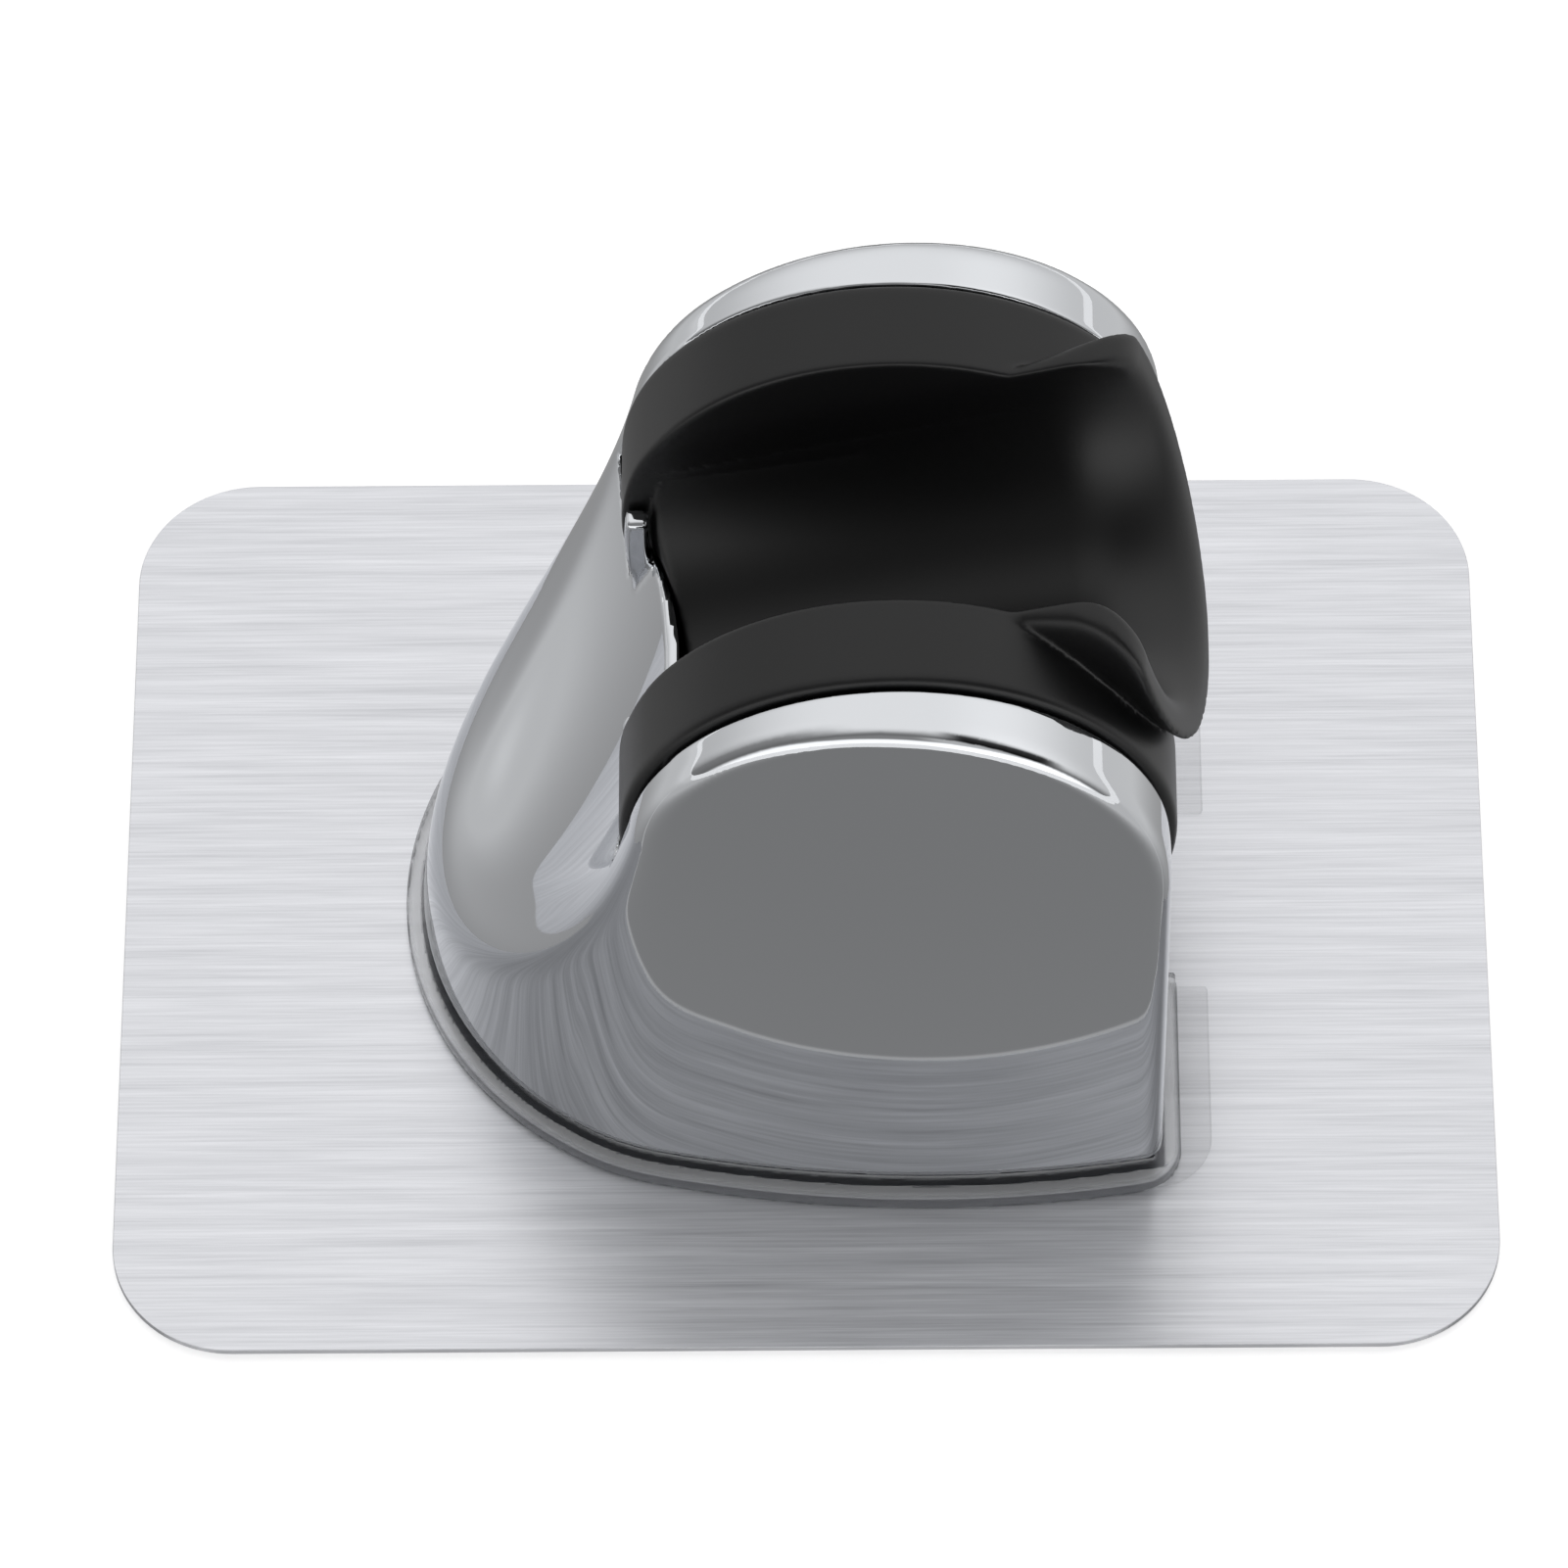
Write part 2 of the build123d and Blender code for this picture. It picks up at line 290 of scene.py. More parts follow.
def half_width(x, z):
    """Half the body's width along its flat sides."""
    climb = (z - foot_z) / (top_z - foot_z)
    bow = (x - side_apex_x) ** 2 / (2 * side_radius)
    return foot_half_width - (wall_lean + wall_bow * climb) * climb - bow * (1 - side_flattening * climb)


def plan(x, y, z):
    """Distance outside the body's upright wall: a round nose that runs into nearly flat sides."""
    side = np.abs(y)
    height = z - foot_z
    radius = nose_radius - nose_taper * height
    nose_middle = nose_x + nose_lean * height + radius
    turn_x, turn_half = nose_middle - radius * math.cos(nose_turn), radius * math.sin(nose_turn)
    middle = (turn_x + body_end_x) / 2
    flank = circle_through(
        (body_end_x, half_width(body_end_x, z)), (middle, half_width(middle, z)), (turn_x, turn_half),
    )
    nose = np.hypot(x - nose_middle, y) - radius
    flat = np.hypot(x - flank[0], side - flank[1]) - flank[2]
    around = np.arctan2(side, nose_middle - x)
    return nose + (flat - nose) * step(nose_turn - nose_fade, nose_turn + nose_fade, around)


print("the foot is", round(body_end_x - nose_x, 1), "mm long and", 2 * foot_half_width, "mm wide")

# %% [markdown]
# Seen from the side, the roof slopes down from the cheeks in a hollow curve, and the hose groove sinks into
# it. Both curves are circles through three points read off the object. A hand-drawn curve could follow them
# as well, but a circle has no flat spots for the mirror to show.

# %% Roof and hose groove
roof_turn = math.radians(10.0)
roof_top = (axis_x - cheek_radius * math.cos(roof_turn), axis_z + cheek_radius * math.sin(roof_turn))
roof_circle = circle_through(roof_top, (-17.0, 20.2), (-25.9, 8.0))
groove_circle = circle_through((-22.5, 11.85), (-15.4, 19.9), (-8.4, 32.4))
groove_radius, groove_half = 40.0, 15.9
hull_edge, fine_edge = 1.15, 0.3


def hull_rule(x, y, z):
    """The upright wall, closed by the sloping roof, the round cheeks and the flat end."""
    ahead, above = x - axis_x, z - axis_z
    roof = roof_circle[2] - np.hypot(x - roof_circle[0], z - roof_circle[1])
    on_roof = (ahead < 0) & (above < -ahead * math.tan(roof_turn))
    on_end = (ahead >= 0) & (above < 0)
    cheek = np.where(on_end, ahead - cheek_radius, np.hypot(ahead, above) - cheek_radius)
    return edge(plan(x, y, z), np.where(on_roof, roof, cheek), hull_edge)


def grooved_hull_rule(x, y, z):
    """The hull with the hose groove, which is hollow both along and across."""
    reach = np.hypot(x - groove_circle[0], z - groove_circle[1]) - groove_circle[2] + groove_radius
    groove = np.maximum(np.hypot(reach, y) - groove_radius, np.abs(y) - groove_half)
    return edge(hull_rule(x, y, z), -groove, fine_edge)


print("roof radius", round(float(roof_circle[2]), 1), "mm")
print("groove radius", round(float(groove_circle[2]), 1), "mm along and", groove_radius, "mm across")

# %% [markdown]
# The rest is cut in the order in which a toolmaker would cut it: the pockets that the black spool turns in,
# with two thin guide ribs left beside its flanges, and the channel between the two legs. Boolean modifiers
# would make the same cuts, but they leave sharp edges, and the moulding has soft ones.

# %% Body
waist_radius, waist_crown, waist_gap = 14.3, 21.0, 0.2
slot_half, barrel_half = 9.1, 9.0
pocket_radius, pocket_inner, pocket_outer = 18.3, 8.9, 15.8
pocket_floor, tongue_top = axis_z - waist_radius, 31.4
guide_inner, guide_outer, guide_middle, guide_half = 16.4, 17.95, 8.15, 0.7
guide_top, guide_end_x = 35.7, -4.0
channel_x, channel_half, channel_edge = 15.6, 7.6, 0.4
foot_gap = 0.03


def waist_at(side):
    """Radius of the spool's waist, which swells towards its flanges."""
    return waist_radius + waist_crown - np.sqrt(waist_crown**2 - np.minimum(side, slot_half) ** 2)


def body_rule(x, y, z):
    side = np.abs(y)
    from_axis = np.hypot(x - axis_x, z - axis_z)
    ring = np.maximum(np.maximum(from_axis - pocket_radius, pocket_inner - side), side - pocket_outer)
    barrel = np.maximum(from_axis - waist_at(side) - waist_gap, side - barrel_half)
    past_axis = np.maximum(axis_x - x, pocket_floor - z)
    slot = np.maximum(side - slot_half, np.minimum(tongue_top - z, past_axis))
    solid = edge(grooved_hull_rule(x, y, z), -np.minimum(np.minimum(ring, barrel), slot), fine_edge)

    guide_ring = edge(from_axis - guide_outer, guide_inner - from_axis, fine_edge)
    guide_bar = edge(np.abs(side - guide_middle) - guide_half, z - guide_top, fine_edge)
    guide = edge(guide_ring, guide_bar, fine_edge)
    solid = valley(solid, np.maximum(guide, x - guide_end_x), fine_edge)

    channel = np.maximum(np.hypot(np.minimum(x - channel_x, 0.0), y) - channel_half, z - axis_z)
    solid = edge(solid, -channel, channel_edge)
    return edge(solid, foot_z + foot_gap - z, fine_edge)


# The flanges turn in narrow gaps, so the grid is closer across these bands of Y.
flange_bands = ((8.3, 9.8), (15.0, 17.4))
body_cell, body_fine_cell = 0.4, 0.18
body = skin(
    "chrome_body", body_rule, spaced(-28.2, 25.2, body_cell),
    spaced(body_cell / 2, 25.2, body_cell, body_fine_cell, flange_bands), spaced(1.8, 52.2, body_cell),
)
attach(body, "base")
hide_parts("holder_body")

# %% [markdown]
# The cradle is one black moulding: a spool with two flanges, a tapered bore for the cone of the hose, a slot
# that lets the hose in, and a flared mouth that drops as it opens, like the bell of a horn. The spool could
# be turned with a Screw modifier. The bell couldn't, because its middle moves down along the way, so it is a
# round tube whose radius and drop both follow one arc.

# %% Bell of the mouth
mouth_drop, mouth_past = 3.2, 1.5
bell_start, bell_root, bell_mouth, bell_back = 9.7, 10.6, 14.0, -19.5
bore_radius, bore_taper, bore_length = 9.2, 0.3, 35.2
flare_start, flare_mouth = 7.2, 11.2
flare_root = bore_radius + bore_taper


def bell(start, start_radius, end_radius, along, height, side):
    """Distance outside a round tube that opens along an arc and drops as it opens."""
    growth = end_radius - start_radius
    curve = (start**2 + growth**2) / (2 * growth)
    run = np.clip(along + start, 0.0, start + mouth_past)
    opening = curve - np.sqrt(curve**2 - run**2)
    return np.hypot(side, height + mouth_drop * opening / growth) - start_radius - opening


print("the mouth is", 2 * flare_mouth, "mm wide inside and the bore", 2 * bore_radius, "mm")

# %% [markdown]
# The cradle turns on two stubs in the cheeks, so it rides on the moving body. Its bore leans from the wall,
# so its rule works along the bore and square to it. First the bell grows out of the spool with a small
# fillet, then the bore and the slot are cut, with a softer edge towards the mouth, and last the core under the
# bore that keeps the wall of the moulding even.

# %% Cradle
tilt = math.radians(16.5)
mouth_x, mouth_z = 22.2, 48.5
flange_radius, flange_edge, flange_inner_edge = 18.15, 0.6, 0.35
spool_half, spool_waist_half = 15.6, 9.4
slot_narrowing, narrowing_from, narrowing_to = 0.8, -0.5, 0.8
stub_radius, stub_half = 4.5, 17.1
lip_height, lip_corner, lip_edge = 3.9, 4.0, 0.7
slot_fillet, bore_edge, mouth_softness, softer_from = 0.5, 0.35, 0.5, -3.0
core_middle, core_half_length, core_half_width, core_floor = -19.5, 8.5, 6.5, 2.6


def spool_rule(x, z, side, height):
    """Two flanges, the swelling waist between them and the stubs that it turns on."""
    from_axis = np.hypot(x - axis_x, z - axis_z)
    inner = slot_half - side - slot_narrowing * step(narrowing_from, narrowing_to, height)
    ring = edge(edge(from_axis - flange_radius, side - spool_half, flange_edge), inner, flange_inner_edge)
    waist = np.maximum(from_axis - waist_at(side), side - spool_waist_half)
    stubs = edge(from_axis - stub_radius, side - stub_half, fine_edge)
    return np.minimum(np.minimum(ring, waist), stubs)


def cradle_rule(x, y, z):
    side = np.abs(y)
    along = (x - mouth_x) * math.cos(tilt) + (z - mouth_z) * math.sin(tilt)
    height = (z - mouth_z) * math.cos(tilt) - (x - mouth_x) * math.sin(tilt)
    lip = round_corner(along, height - lip_height, lip_corner)
    outer = np.maximum(bell(bell_start, bell_root, bell_mouth, along, height, side), bell_back - along)
    solid = valley(spool_rule(x, z, side, height), edge(outer, lip, lip_edge), fine_edge)

    taper = bore_taper * np.clip((along + bore_length) / (bore_length - flare_start), 0.0, 1.0)
    bore = bell(flare_start, flare_root, flare_mouth, along, height, side) + bore_taper - taper
    cut = valley(bore, np.maximum(side - slot_half, -height), slot_fillet)
    solid = edge(solid, -cut, bore_edge + mouth_softness * step(softer_from, 0.0, along))

    across = np.maximum(np.abs(along - core_middle) - core_half_length, side - core_half_width)
    core = np.maximum(across, height + bore_radius + core_floor)
    return edge(solid, -core, fine_edge)


cradle_cell, cradle_fine_cell = 0.32, 0.15
cradle = skin(
    "black_cradle", cradle_rule, spaced(-12.7, 29.0, cradle_cell),
    spaced(cradle_cell / 2, 18.0, cradle_cell, cradle_fine_cell, flange_bands),
    spaced(14.4, 52.6, cradle_cell),
)
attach(cradle, "tilting_cradle")
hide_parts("cradle")

# %% [markdown]
# Materials and geometry trees are built from nodes, and each node needs the same three things: its options,
# its values and its links. They could be wired by hand in the editor, but a script gives the same tree each
# time. One small function adds any node. Colours are written as the hex codes that a colour picker shows, and
# Blender works with linear light, so one function turns one into the other.

# %% Nodes and colours
def put(tree, kind, settings=(), inputs=()):
    """Add one node, set its options, and set or link its inputs."""
    made = tree.nodes.new(kind)
    for name, value in dict(settings).items():
        setattr(made, name, value)
    for name, value in dict(inputs).items():
        if isinstance(value, bpy.types.NodeSocket):
            tree.links.new(value, made.inputs[name])
        else:
            made.inputs[name].default_value = value
    return made


def linear(code):
    """Linear colour from an sRGB hex code."""
    parts = [int(code[n:n + 2], 16) / 255.0 for n in (1, 3, 5)]
    return tuple(p / 12.92 if p <= 0.04045 else ((p + 0.055) / 1.055) ** 2.4 for p in parts) + (1.0,)


def finish_of(name):
    """A new material, its tree and its output."""
    made = bpy.data.materials.new(name)
    made.use_nodes = True
    made.node_tree.nodes.clear()
    return made, made.node_tree, put(made.node_tree, "ShaderNodeOutputMaterial")


print("mid grey #808080 is", round(linear("#808080")[0], 3), "in linear light")

# %% [markdown]
# The backing sheet and the adhesive layer are the same thing in two sizes: a rectangle with rounded corners
# and a thickness. Their shape follows a rule, so one Geometry Nodes tree makes both: a rectangle curve with
# filleted corners is filled, raised, closed underneath and lifted to its place. Its sizes are named inputs. A
# cube with a bevel would do too, but its corner radius and its edge radius would get in each other's way.

# %% Tree for a rounded sheet
corner_points = 24
weld_distance = 0.001 * MM
sheet_tree = bpy.data.node_groups.new("rounded_sheet", "GeometryNodeTree")
sheet_face = sheet_tree.interface
sheet_face.new_socket("Geometry", in_out="OUTPUT", socket_type="NodeSocketGeometry")
for label in ("Length", "Width", "Corner", "Bottom", "Thickness"):
    sheet_face.new_socket(label, in_out="INPUT", socket_type="NodeSocketFloat")
sheet_face.new_socket("Finish", in_out="INPUT", socket_type="NodeSocketMaterial")
given = put(sheet_tree, "NodeGroupInput").outputs

outline = put(sheet_tree, "GeometryNodeCurvePrimitiveQuadrilateral", {}, {
    "Width": given["Length"], "Height": given["Width"],
})
rounded = put(sheet_tree, "GeometryNodeFilletCurve", {"mode": "POLY"}, {
    "Curve": outline.outputs[0], "Radius": given["Corner"], "Count": corner_points,
})
flat = put(sheet_tree, "GeometryNodeFillCurve", {"mode": "NGONS"}, {"Curve": rounded.outputs[0]})
raised = put(sheet_tree, "GeometryNodeExtrudeMesh", {"mode": "FACES"}, {
    "Mesh": flat.outputs[0], "Offset Scale": given["Thickness"], "Individual": False,
})
under = put(sheet_tree, "GeometryNodeFlipFaces", {}, {"Mesh": flat.outputs[0]})
both = put(sheet_tree, "GeometryNodeJoinGeometry")
for half_sheet in (raised, under):
    sheet_tree.links.new(half_sheet.outputs[0], both.inputs[0])
closed = put(sheet_tree, "GeometryNodeMergeByDistance", {}, {
    "Geometry": both.outputs[0], "Distance": weld_distance,
})
lift = put(sheet_tree, "ShaderNodeCombineXYZ", {}, {"Z": given["Bottom"]})
placed = put(sheet_tree, "GeometryNodeTransform", {}, {
    "Geometry": closed.outputs[0], "Translation": lift.outputs[0],
})
real = put(sheet_tree, "GeometryNodeRealizeInstances", {}, {"Geometry": placed.outputs[0]})
dressed = put(sheet_tree, "GeometryNodeSetMaterial", {}, {
    "Geometry": real.outputs[0], "Material": given["Finish"],
})
put(sheet_tree, "NodeGroupOutput", {}, {"Geometry": dressed.outputs[0]})
print("the tree of a rounded sheet has", len(sheet_tree.nodes), "nodes")

# %% [markdown]
# A stamped sheet has slightly eased edges, which catch a thin line of light. A bevel modifier gives those. The
# result is then taken as a plain mesh, because the export wants no live trees, and the object that made it is
# removed with its modifiers.

# %% A sheet from the tree
def rounded_sheet(name, finish, sizes, edge_width):
    """A flat rounded sheet from the tree, as a plain mesh with its edges eased."""
    maker = bpy.data.objects.new(name + "_maker", bpy.data.meshes.new(name + "_maker"))
    scene.collection.objects.link(maker)
    modifier = maker.modifiers.new("sheet", "NODES")
    modifier.node_group = sheet_tree
    for item in sheet_face.items_tree:
        if item.in_out == "INPUT":
            modifier[item.identifier] = sizes[item.name] * MM if item.name in sizes else finish
    eased = maker.modifiers.new("eased", "BEVEL")
    eased.width = edge_width * MM
    eased.segments = 2
    eased.limit_method = "ANGLE"
    eased.harden_normals = True
    mesh = bpy.data.meshes.new_from_object(maker.evaluated_get(bpy.context.evaluated_depsgraph_get()))
    bpy.data.objects.remove(maker)
    mesh.name = name
    piece = bpy.data.objects.new(name, mesh)
    scene.collection.objects.link(piece)
    print(name, len(mesh.polygons), "faces")
    return piece


print("a sheet is given its", [item.name for item in sheet_face.items_tree if item.in_out == "INPUT"])

# %% [markdown]
# The sheet is stainless steel, brushed along its length. The eye sees fine streaks, some lighter and some
# duller, and a soft reflection that the brushing draws out to one side. A scanned picture could give the
# streaks, but it would repeat. Here they are noise, stretched along X by a Mapping node. The drawn-out
# reflection is the shader's anisotropy, with its tangent across the brushing. Real scratches are about
# 0.05 mm apart, too fine to show at this size, so they are drawn about 0.2 mm apart.

# %% Brushed steel sheet
hairs_across, hairs_along = 5.2, 0.09  # in each mm, so a hair is 0.2 mm wide and 11 mm long
bands_across, bands_along = 1.1, 0.028  # in each mm, so a band is 0.9 mm wide and 36 mm long
band_share = 0.45
duller, brighter = 0.3, 0.7
brushed, tree, output = finish_of("brushed_steel_sheet")
place = put(tree, "ShaderNodeTexCoord").outputs["Object"]
fine = put(tree, "ShaderNodeMapping", {}, {
    "Vector": place, "Scale": (hairs_along / MM, hairs_across / MM, 1.0),
})
coarse = put(tree, "ShaderNodeMapping", {}, {
    "Vector": place, "Scale": (bands_along / MM, bands_across / MM, 1.0),
})
hair = put(tree, "ShaderNodeTexNoise", {}, {
    "Vector": fine.outputs[0], "Scale": 1.0, "Detail": 3.0, "Roughness": 0.6,
})
band = put(tree, "ShaderNodeTexNoise", {}, {
    "Vector": coarse.outputs[0], "Scale": 1.0, "Detail": 2.0, "Roughness": 0.5,
})
streaks = put(tree, "ShaderNodeMix", {"data_type": "FLOAT"}, {
    0: band_share, 2: hair.outputs["Fac"], 3: band.outputs["Fac"],
})
shade = put(tree, "ShaderNodeValToRGB", {}, {"Fac": streaks.outputs[0]})
for stop, spot, code in zip(shade.color_ramp.elements, (duller, brighter), ("#C3C4C8", "#EDEEF2")):
    stop.position = spot
    stop.color = linear(code)
rough = put(tree, "ShaderNodeMapRange", {}, {
    "Value": streaks.outputs[0], "From Min": duller, "From Max": brighter, "To Min": 0.30, "To Max": 0.40,
})
bump = put(tree, "ShaderNodeBump", {}, {
    "Strength": 0.06, "Distance": 0.04 * MM, "Height": hair.outputs["Fac"],
})
across_brushing = put(tree, "ShaderNodeCombineXYZ", {}, {"Y": 1.0})
steel = put(tree, "ShaderNodeBsdfPrincipled", {}, {
    "Base Color": shade.outputs[0], "Metallic": 1.0, "Roughness": rough.outputs[0],
    "Anisotropic": 0.75, "Tangent": across_brushing.outputs[0], "Normal": bump.outputs[0],
})
tree.links.new(steel.outputs[0], output.inputs[0])
sheet_sizes = {"Length": 93.0, "Width": 70.0, "Corner": 8.2, "Bottom": 0.3, "Thickness": 0.48}
sheet_edge = 0.06
sheet = rounded_sheet("steel_sheet", brushed, sheet_sizes, sheet_edge)
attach(sheet, "base")
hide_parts("backing_sheet")

# %% [markdown]
# Under the sheet lies the adhesive, a soft layer of clear acrylic, a little smaller than the sheet so that it
# doesn't creep out. Only its edge can be seen. The eye sees a milky, dull layer with a slight mottle of about
# a millimetre. A plain colour would nearly do, and a little noise makes it look poured.

# %% Acrylic adhesive layer
mottles = 0.9  # in each mm, so about 1.1 mm apart
sticky, tree, output = finish_of("acrylic_adhesive")
place = put(tree, "ShaderNodeTexCoord").outputs["Object"]
mottle = put(tree, "ShaderNodeTexNoise", {}, {"Vector": place, "Scale": mottles / MM, "Detail": 2.0})
shade = put(tree, "ShaderNodeValToRGB", {}, {"Fac": mottle.outputs["Fac"]})
for stop, code in zip(shade.color_ramp.elements, ("#CFCFD1", "#E4E4E6")):
    stop.color = linear(code)
gum = put(tree, "ShaderNodeBsdfPrincipled", {}, {"Base Color": shade.outputs[0], "Roughness": 0.55})
tree.links.new(gum.outputs[0], output.inputs[0])
pad_sizes = {"Length": 92.0, "Width": 69.0, "Corner": 7.7, "Bottom": 0.0, "Thickness": 0.29}
pad_edge = 0.04
pad = rounded_sheet("adhesive_layer", sticky, pad_sizes, pad_edge)
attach(pad, "base")
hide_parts("adhesive_pad")

# %% [markdown]
# The body is moulded ABS with a skin of bright chrome. The eye sees a clean mirror, a shade darker than
# silver, with hardly any colour of its own. Moulded plastic shrinks as it cools, which leaves very shallow
# waves under the plating, several millimetres long. A perfect mirror is easier to make, but it looks drawn. A
# weak bump from slow noise gives the waves.

# %% Chrome plate
waves = 0.16  # in each mm, so about 6 mm long
chrome, tree, output = finish_of("chrome_plated_abs")
place = put(tree, "ShaderNodeTexCoord").outputs["Object"]
swell = put(tree, "ShaderNodeTexNoise", {}, {"Vector": place, "Scale": waves / MM, "Detail": 1.0})
bump = put(tree, "ShaderNodeBump", {}, {
    "Strength": 0.02, "Distance": 0.2 * MM, "Height": swell.outputs["Fac"],
})
plate = put(tree, "ShaderNodeBsdfPrincipled", {}, {
    "Base Color": linear("#CDCFD2"), "Metallic": 1.0, "Roughness": 0.03, "Normal": bump.outputs[0],
})
tree.links.new(plate.outputs[0], output.inputs[0])
body.data.materials.append(chrome)
print(chrome.name, "is on", body.name)

# %% [markdown]
# The cradle is black ABS from a mould with a fine spark-eroded grain. The eye sees a satin black: the light on
# it is broad and soft, and inside the bore it fades to almost nothing. Roughness alone gives the softness, and
# a bump breaks up the sheen. The real grain is about 0.05 mm, too fine to show, so it is drawn 0.2 mm apart.

# %% Black plastic
sparks = 5.0  # in each mm, so 0.2 mm apart
black, tree, output = finish_of("black_moulded_abs")
place = put(tree, "ShaderNodeTexCoord").outputs["Object"]
grain = put(tree, "ShaderNodeTexNoise", {}, {"Vector": place, "Scale": sparks / MM, "Detail": 2.0})
bump = put(tree, "ShaderNodeBump", {}, {
    "Strength": 0.12, "Distance": 0.03 * MM, "Height": grain.outputs["Fac"],
})
satin = put(tree, "ShaderNodeBsdfPrincipled", {}, {
    "Base Color": linear("#0A0A0B"), "Roughness": 0.4, "Specular IOR Level": 0.38, "Normal": bump.outputs[0],
})
tree.links.new(satin.outputs[0], output.inputs[0])
cradle.data.materials.append(black)
print(black.name, "is on", cradle.name)

# %% [markdown]
# Between the sheet and the chromed foot lies a clear moulding. What shows of it is a rim round the foot, with
# a fine groove between rim and foot, and a thin film that is shifted a little up the wall and peeps out past
# the legs. A curve round the foot with a bevel could give the rim, but not its groove. The rule takes the
# body's own outline at the foot and widens it, so the rim keeps its distance from the chrome all the way.

# %% Clear base
rim_reach, rim_corner, rim_top, rim_edge = 1.2, 2.4, 2.08, 0.45
rim_channel_half = 6.4
gap_middle, gap_half, gap_floor = -0.45, 0.62, 1.8
film_shift, film_reach, film_corner, film_top, film_edge = 2.8, 0.6, 3.2, 1.03, 0.1
film_channel_half = 7.0
plinth_inset, plinth_top, plinth_channel_half = 0.5, 2.78, 8.1
base_bottom = 0.795


def clear_rule(x, y, z):
    at_foot = plan(x, y, foot_z)
    past_end = x - body_end_x
    from_channel = np.hypot(np.minimum(x - channel_x, 0.0), y)
    rim_plan = round_corner(at_foot - rim_reach, past_end - rim_reach, rim_corner)
    rim = edge(np.maximum(rim_plan, rim_channel_half - from_channel), z - rim_top, rim_edge)
    gap = np.abs(np.maximum(at_foot, past_end) - gap_middle) - gap_half
    rim = np.maximum(rim, -np.maximum(gap, gap_floor - z))

    film_end = past_end - film_shift - film_reach
    film_plan = round_corner(plan(x - film_shift, y, foot_z) - film_reach, film_end, film_corner)
    film_from_channel = np.hypot(np.minimum(x - channel_x - film_shift, 0.0), y)
    film = edge(np.maximum(film_plan, film_channel_half - film_from_channel), z - film_top, film_edge)

    plinth_plan = np.maximum(at_foot, past_end) + plinth_inset
    plinth = np.maximum(np.maximum(plinth_plan, plinth_channel_half - from_channel), z - plinth_top)
    return np.maximum(np.minimum(np.minimum(rim, film), plinth), base_bottom - z)


base_cell, base_layer = 0.28, 0.09
base = skin(
    "clear_base_rim", clear_rule, spaced(-28.6, 29.2, base_cell), spaced(base_cell / 2, 26.0, base_cell),
    spaced(0.66, 3.0, base_layer),
)
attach(base, "base")
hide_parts("clear_base")

# %% [markdown]
# The clear moulding is clear acrylic, but its light and shade are painted. The eye sees hardly any body in it,
# only its edges: a dark line where the outer wall bends the light away, a light top, and a dark line of shade
# under the foot. A true glass shader bends the light too, but over brushed metal this thin rim turned nearly
# black. So the colour and the cover follow the height in the rim, as a ramp that paints a dark wall and groove
# floor, a light shoulder and top, and shade on the plinth under the foot. The film past the legs is nearly
# see-through.

# %% Clear plastic, with light and shade painted by height
ramp_low, ramp_high = 0.8, 2.8
film_from_x, film_past_x = 22.6, 22.9
film_below_z, film_above_z, film_clearness = 1.05, 1.09, 0.88
clear, tree, output = finish_of("clear_moulded_acrylic")
place = put(tree, "ShaderNodeTexCoord").outputs["Object"]
parts = put(tree, "ShaderNodeSeparateXYZ", {}, {0: place}).outputs
climb = put(tree, "ShaderNodeMapRange", {}, {
    "Value": parts["Z"], "From Min": ramp_low * MM, "From Max": ramp_high * MM,
})
shade = put(tree, "ShaderNodeValToRGB", {}, {"Fac": climb.outputs[0]})
ramp = shade.color_ramp.elements
# Painted light and shade by height: the wall colour is painted dark for the light that the outer wall bends
# away and for the shade in the groove under the foot, the shoulder and top are painted light, and the last
# colour is painted shade on the plinth under the foot.
painted_dark_wall, painted_light_shoulder, top, painted_shade_under_foot = "#505256", "#D8DADE", "#F0F1F3", "#1E1F22"
stops = (
    (0.0, painted_dark_wall, 0.0), (0.02, painted_dark_wall, 0.7), (0.50, painted_dark_wall, 0.65), (0.59, painted_light_shoulder, 0.25),
    (0.64, top, 0.35), (0.68, painted_light_shoulder, 0.35), (0.73, painted_shade_under_foot, 1.0), (1.0, painted_shade_under_foot, 1.0),
)
for spot, _, _ in stops[1:-1]:
    ramp.new(spot)
for stop, (spot, code, cover) in zip(ramp, stops):
    stop.position = spot
    stop.color = linear(code)[:3] + (cover,)
past_legs = put(tree, "ShaderNodeMapRange", {}, {
    "Value": parts["X"], "From Min": film_from_x * MM, "From Max": film_past_x * MM,
})
thin = put(tree, "ShaderNodeMapRange", {}, {
    "Value": parts["Z"], "From Min": film_below_z * MM, "From Max": film_above_z * MM,
    "To Min": film_clearness, "To Max": 0.0,
})
film = put(tree, "ShaderNodeMath", {"operation": "MULTIPLY"}, {0: past_legs.outputs[0], 1: thin.outputs[0]})
kept = put(tree, "ShaderNodeMath", {"operation": "SUBTRACT"}, {0: 1.0, 1: film.outputs[0]})
cover = put(tree, "ShaderNodeMath", {"operation": "MULTIPLY"}, {0: shade.outputs["Alpha"], 1: kept.outputs[0]})
glassy = put(tree, "ShaderNodeBsdfPrincipled", {}, {
    "Base Color": shade.outputs[0], "Roughness": 0.12, "IOR": 1.49, "Alpha": cover.outputs[0],
})
tree.links.new(glassy.outputs[0], output.inputs[0])
base.data.materials.append(clear)
print(clear.name, "has", len(ramp), "stops from bottom to top")

# %% [markdown]
# The floor is white paper. More light would also make it white, but it would wash out the object. So the paper
# glows a little, only for the camera and for the metal and clear plastic that show it, and it still takes the
# soft shadow.

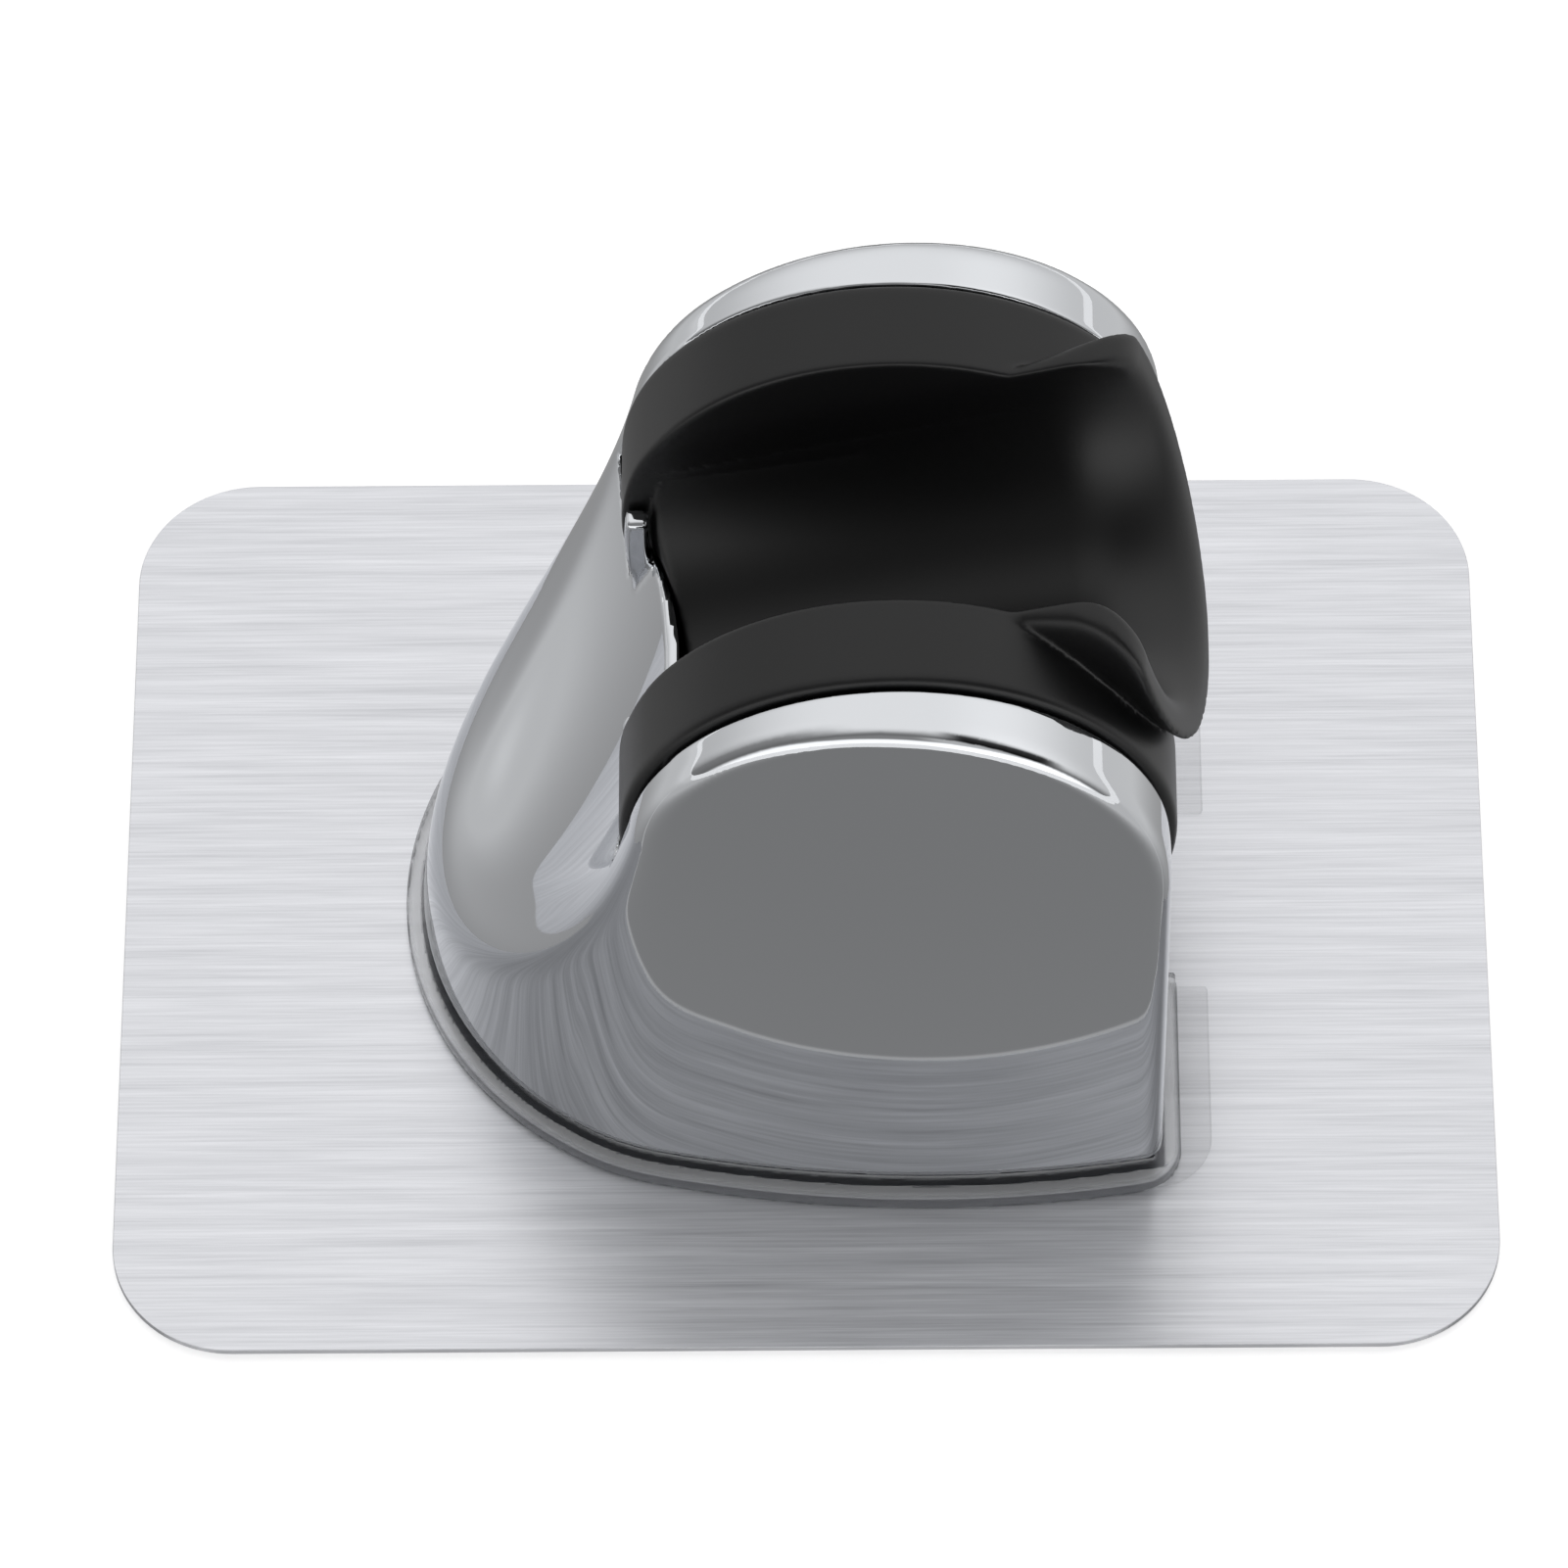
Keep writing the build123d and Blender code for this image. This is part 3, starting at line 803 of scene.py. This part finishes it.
# %% Floor
def flat_card(name, low, high, z):
    """A flat rectangle of the studio, which isn't part of the object."""
    mesh = bpy.data.meshes.new(name)
    spots = [(low[0], low[1], z), (high[0], low[1], z), (high[0], high[1], z), (low[0], high[1], z)]
    mesh.from_pydata([[v * MM for v in spot] for spot in spots], [], [(0, 1, 2, 3)])
    made = bpy.data.objects.new(name, mesh)
    scene.collection.objects.link(made)
    return made


floor_half = 3000
floor_glow = 0.5
floor = flat_card("floor", (-floor_half, -floor_half), (floor_half, floor_half), 0.0)
paper, tree, output = finish_of("white_paper_floor")
rays = put(tree, "ShaderNodeLightPath").outputs
seen = rays["Is Camera Ray"]
for more in ("Is Glossy Ray", "Is Transmission Ray"):
    both = {0: seen, 1: rays[more]}
    seen = put(tree, "ShaderNodeMath", {"operation": "ADD", "use_clamp": True}, both).outputs[0]
lift = put(tree, "ShaderNodeMath", {"operation": "MULTIPLY"}, {0: seen, 1: floor_glow})
glow = put(tree, "ShaderNodeEmission", {}, {"Color": linear("#FFFFFF"), "Strength": lift.outputs[0]})
matt = put(tree, "ShaderNodeBsdfDiffuse", {}, {"Color": linear("#F2F2F2")})
lit = put(tree, "ShaderNodeAddShader", {}, {0: glow.outputs[0], 1: matt.outputs[0]})
tree.links.new(lit.outputs[0], output.inputs[0])
floor.data.materials.append(paper)
print(floor.name, "is stage, and", paper.name, "is on it")

# %% [markdown]
# A mirror is only as good as what stands round it. For a chromed piece, a product studio lays out grey cards,
# so that its sides aren't plain white. One large card does that here, just above the paper, where only the
# mirrors see it. Several cards could be laid by hand, but one card with a graded brightness has no joins: it
# grows lighter to the left and the right, and a light line along the front of the sheet gives the cheek its
# thin bright border. The level comes from a table: each patch is a product of smooth changes along the axes.

# %% Grey card
def light_level(tree, parts, patches, unit):
    """Brightness made of patches, each a product of smooth changes, that add to, scale or dim the rest."""
    level = 0.0
    for way, changes in patches:
        share = 1.0
        for axis, start, end, low, high in changes:
            change = put(tree, "ShaderNodeMapRange", {"interpolation_type": "SMOOTHSTEP"}, {
                "Value": parts[axis], "From Min": start * unit, "From Max": end * unit,
                "To Min": low, "To Max": high,
            })
            both = {0: share, 1: change.outputs[0]}
            share = put(tree, "ShaderNodeMath", {"operation": "MULTIPLY"}, both).outputs[0]
        if way == "dim":
            share = put(tree, "ShaderNodeMath", {"operation": "SUBTRACT"}, {0: 1.0, 1: share}).outputs[0]
        operation = "ADD" if way == "add" else "MULTIPLY"
        level = put(tree, "ShaderNodeMath", {"operation": operation}, {0: level, 1: share}).outputs[0]
    return level


card_height = 0.06
card = flat_card("grey_card", (-2000, -150), (420, 420), card_height)
grey, tree, output = finish_of("graded_grey_card")
place = put(tree, "ShaderNodeTexCoord").outputs["Object"]
parts = put(tree, "ShaderNodeSeparateXYZ", {}, {0: place}).outputs
# Each change is an axis, where it starts and ends in mm, and the level at its start and its end.
card_patches = (
    ("add", (("Y", -60, 20, 0.27, 0.36),)),
    ("add", (("X", -20, -120, 0.0, 0.36),)),
    ("add", (("X", -130, -400, 0.0, 0.15),)),
    ("add", (("X", 30, 110, 0.0, 0.42),)),
    ("add", (("Y", -35.9, -35.7, 0.0, 0.22), ("Y", -34.5, -33.5, 1.0, 0.0))),
)
level = light_level(tree, parts, card_patches, MM)
glow = put(tree, "ShaderNodeEmission", {}, {"Color": linear("#FFFFFF"), "Strength": level})
tree.links.new(glow.outputs[0], output.inputs[0])
card.data.materials.append(grey)
for kind_of_ray in ("camera", "diffuse", "transmission", "shadow"):
    setattr(card, "visible_" + kind_of_ray, False)
print(card.name, "shows in mirrors alone, with", len(card_patches), "patches of light")

# %% [markdown]
# The light comes from the sky of the studio, a world shader, as from one very large soft box. A handful of
# area lamps would light the holder too, but its mirror would show their outlines. The sky is brightest
# overhead and behind, and darker in front, where the viewer stands. One dim patch on the left and one on the
# right stand for the black flags of a studio, and a low bright strip in front lights the near edges.

# %% Sky of the studio
world = bpy.data.worlds.new("studio")
scene.world = world
world.use_nodes = True
tree = world.node_tree
sky = tree.nodes["Background"]
toward = put(tree, "ShaderNodeTexCoord").outputs["Generated"]
parts = put(tree, "ShaderNodeSeparateXYZ", {}, {0: toward}).outputs
# Each change is an axis, where it starts and ends along a direction of length 1, and the level at each.
sky_patches = (
    ("add", (("Z", 0.0, 0.8, 0.50, 0.95), ("Y", -0.45, 0.25, 0.0, 1.0))),
    ("dim", (("X", -0.8, -0.25, 0.85, 0.0), ("Y", 0.1, 0.5, 1.0, 0.0))),
    ("scale", (("X", 0.2, 0.8, 1.0, 1.25),)),
    ("add", (("Y", -0.3, -0.65, 0.2, 0.32),)),
    ("dim", (
        ("X", 0.18, 0.4, 0.0, 0.95), ("Y", 0.0, 0.3, 1.0, 0.0),
        ("Z", 0.35, 0.55, 0.0, 1.0), ("Y", -0.58, -0.4, 0.0, 1.0),
    )),
    ("add", (("Y", -0.7, -0.35, 1.3, 0.0), ("Z", 0.35, 0.6, 1.0, 0.0))),
    ("add", (("X", 0.0, 0.22, 0.0, 0.35), ("Y", -0.4, -0.6, 0.0, 1.0))),
)
tree.links.new(light_level(tree, parts, sky_patches, 1.0), sky.inputs["Strength"])
sky.inputs["Color"].default_value = linear("#FFFFFF")
print("the sky has", len(sky_patches), "patches of light")
